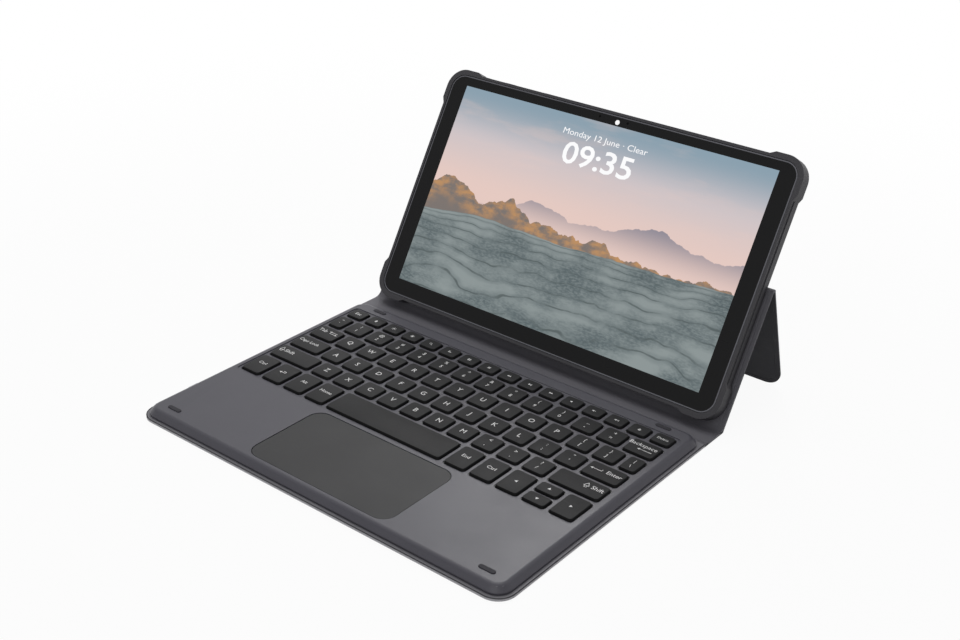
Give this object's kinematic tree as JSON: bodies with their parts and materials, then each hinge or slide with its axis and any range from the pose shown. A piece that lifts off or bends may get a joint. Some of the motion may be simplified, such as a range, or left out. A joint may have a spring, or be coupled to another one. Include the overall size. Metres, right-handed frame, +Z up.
{
  "type": "tablet keyboard case",
  "caption": "Folio case with a built-in keyboard and touchpad, holding a tablet in a protective shell on a fold-back kickstand.",
  "frame": {"origin": "centre of the base's flat underside", "axes": "+X to the right along the keyboard, +Y from the palm rest towards the tablet, +Z up"},
  "size_m": [0.259, 0.2778, 0.1413],
  "materials": {
    "cover_skin": "matte grained synthetic leather",
    "stiffener": "plain board",
    "cover_lining": "fine grained synthetic leather",
    "deck_plastic": "satin, sprayed",
    "steel": "plain",
    "membrane": "clear film",
    "silicone": "matte",
    "circuit_board": "solder mask",
    "battery_wrap": "foil",
    "rubber_pad": "matte",
    "magnet": "plated",
    "touchpad_surface": "smooth matte",
    "black_plastic": "matte",
    "keycap": "matte, rubberised",
    "shell_plastic": "soft matte",
    "tablet_metal": "satin anodised",
    "black_glass": "gloss, opaque black behind glass",
    "display": "gloss",
    "lens": "gloss"
  },
  "bodies": {
    "base": {"base_cover_skin": "cover_skin", "base_cover_board": "stiffener", "base_cover_lining": "cover_lining", "deck_bottom_shell": "deck_plastic", "deck_top_shell": "deck_plastic", "key_backplate": "steel", "key_membrane": "membrane", "rubber_domes": "silicone", "main_board": "circuit_board", "charging_socket": "steel", "battery": "battery_wrap", "touchpad_board": "circuit_board", "deck_pads": "rubber_pad", "cover_magnets": "magnet"},
    "touchpad": {"touchpad_plate": "touchpad_surface"},
    "power_switch": {"power_switch": "black_plastic"},
    "spine": {"spine_skin": "cover_skin", "spine_stiffener": "stiffener"},
    "lid": {"lid_panel_skin": "cover_skin", "lid_panel_board": "stiffener", "lid_panel_lining": "cover_lining", "tablet_shell": "shell_plastic", "shell_magnets": "magnet"},
    "kickstand": {"kickstand_skin": "cover_skin", "kickstand_board": "stiffener", "kickstand_lining": "cover_lining", "kickstand_magnets": "magnet"},
    "tablet": {"tablet_housing": "tablet_metal", "tablet_glass": "black_glass", "tablet_display": "display", "front_camera_lens": "lens", "light_sensor_windows": "lens", "rear_camera_ring": "tablet_metal", "rear_camera_lens": "lens", "tablet_socket": "steel"},
    "tablet_power_button": {"tablet_power_button": "tablet_metal"},
    "tablet_volume_rocker": {"tablet_volume_rocker": "tablet_metal"},
    "function_keys": {"function_keys": "keycap"},
    "number_keys": {"number_keys": "keycap"},
    "backspace_key": {"backspace_key": "keycap"},
    "tab_key": {"tab_key": "keycap"},
    "top_letter_keys": {"top_letter_keys": "keycap"},
    "caps_lock_key": {"caps_lock_key": "keycap"},
    "home_letter_keys": {"home_letter_keys": "keycap"},
    "enter_key": {"enter_key": "keycap"},
    "left_shift_key": {"left_shift_key": "keycap"},
    "bottom_letter_keys": {"bottom_letter_keys": "keycap"},
    "right_shift_key": {"right_shift_key": "keycap"},
    "modifier_keys": {"modifier_keys": "keycap"},
    "space_bar": {"space_bar": "keycap"},
    "arrow_keys": {"arrow_keys": "keycap"}
  },
  "joints": [
    {"name": "spine_fold", "type": "hinge", "parent": "base", "child": "spine", "pos_m": [0, 0.091, 0.0016], "axis": [1, 0, 0], "range_deg": [0, 90]},
    {"name": "lid_fold", "type": "hinge", "parent": "spine", "child": "lid", "pos_m": [0, 0.108, 0.0016], "axis": [1, 0, 0], "range_deg": [-59.5, 30.5]},
    {"name": "kickstand_fold", "type": "hinge", "parent": "lid", "child": "kickstand", "pos_m": [0, 0.15125, 0.07187], "axis": [1, 0, 0], "range_deg": [-40, 130.5]},
    {"name": "tablet_removal", "type": "slide", "parent": "lid", "child": "tablet", "axis": [0, 0.8616, -0.5075], "range_m": [-0.06, 0]},
    {"name": "tablet_power_press", "type": "slide", "parent": "tablet", "child": "tablet_power_button", "axis": [0, -0.5075, -0.8616], "range_m": [0, 0.0002], "stiffness_N_per_m": 2000, "springref_m": -0.0006},
    {"name": "tablet_volume_press", "type": "slide", "parent": "tablet", "child": "tablet_volume_rocker", "axis": [0, -0.5075, -0.8616], "range_m": [0, 0.0002], "stiffness_N_per_m": 2000, "springref_m": -0.0006},
    {"name": "touchpad_click", "type": "hinge", "parent": "base", "child": "touchpad", "pos_m": [0, -0.0275, 0.00545], "axis": [1, 0, 0], "range_deg": [0, 0.6], "stiffness_Nm_per_rad": 6, "springref_deg": -3.44},
    {"name": "power_switch_slide", "type": "slide", "parent": "base", "child": "power_switch", "axis": [0, 1, 0], "range_m": [0, 0.0028]},
    {"name": "function_keys_press", "type": "slide", "parent": "base", "child": "function_keys", "axis": [0, 0, -1], "range_m": [0, 0.0012], "stiffness_N_per_m": 6400, "springref_m": -0.0008},
    {"name": "number_keys_press", "type": "slide", "parent": "base", "child": "number_keys", "axis": [0, 0, -1], "range_m": [0, 0.0012], "stiffness_N_per_m": 5200, "springref_m": -0.0008},
    {"name": "backspace_key_press", "type": "slide", "parent": "base", "child": "backspace_key", "axis": [0, 0, -1], "range_m": [0, 0.0012], "stiffness_N_per_m": 400, "springref_m": -0.0008},
    {"name": "tab_key_press", "type": "slide", "parent": "base", "child": "tab_key", "axis": [0, 0, -1], "range_m": [0, 0.0012], "stiffness_N_per_m": 400, "springref_m": -0.0008},
    {"name": "top_letter_keys_press", "type": "slide", "parent": "base", "child": "top_letter_keys", "axis": [0, 0, -1], "range_m": [0, 0.0012], "stiffness_N_per_m": 5200, "springref_m": -0.0008},
    {"name": "caps_lock_key_press", "type": "slide", "parent": "base", "child": "caps_lock_key", "axis": [0, 0, -1], "range_m": [0, 0.0012], "stiffness_N_per_m": 400, "springref_m": -0.0008},
    {"name": "home_letter_keys_press", "type": "slide", "parent": "base", "child": "home_letter_keys", "axis": [0, 0, -1], "range_m": [0, 0.0012], "stiffness_N_per_m": 4400, "springref_m": -0.0008},
    {"name": "enter_key_press", "type": "slide", "parent": "base", "child": "enter_key", "axis": [0, 0, -1], "range_m": [0, 0.0012], "stiffness_N_per_m": 400, "springref_m": -0.0008},
    {"name": "left_shift_key_press", "type": "slide", "parent": "base", "child": "left_shift_key", "axis": [0, 0, -1], "range_m": [0, 0.0012], "stiffness_N_per_m": 400, "springref_m": -0.0008},
    {"name": "bottom_letter_keys_press", "type": "slide", "parent": "base", "child": "bottom_letter_keys", "axis": [0, 0, -1], "range_m": [0, 0.0012], "stiffness_N_per_m": 4000, "springref_m": -0.0008},
    {"name": "right_shift_key_press", "type": "slide", "parent": "base", "child": "right_shift_key", "axis": [0, 0, -1], "range_m": [0, 0.0012], "stiffness_N_per_m": 400, "springref_m": -0.0008},
    {"name": "modifier_keys_press", "type": "slide", "parent": "base", "child": "modifier_keys", "axis": [0, 0, -1], "range_m": [0, 0.0012], "stiffness_N_per_m": 2400, "springref_m": -0.0008},
    {"name": "space_bar_press", "type": "slide", "parent": "base", "child": "space_bar", "axis": [0, 0, -1], "range_m": [0, 0.0012], "stiffness_N_per_m": 400, "springref_m": -0.0008},
    {"name": "arrow_keys_press", "type": "slide", "parent": "base", "child": "arrow_keys", "axis": [0, 0, -1], "range_m": [0, 0.0012], "stiffness_N_per_m": 1600, "springref_m": -0.0008}
  ]
}
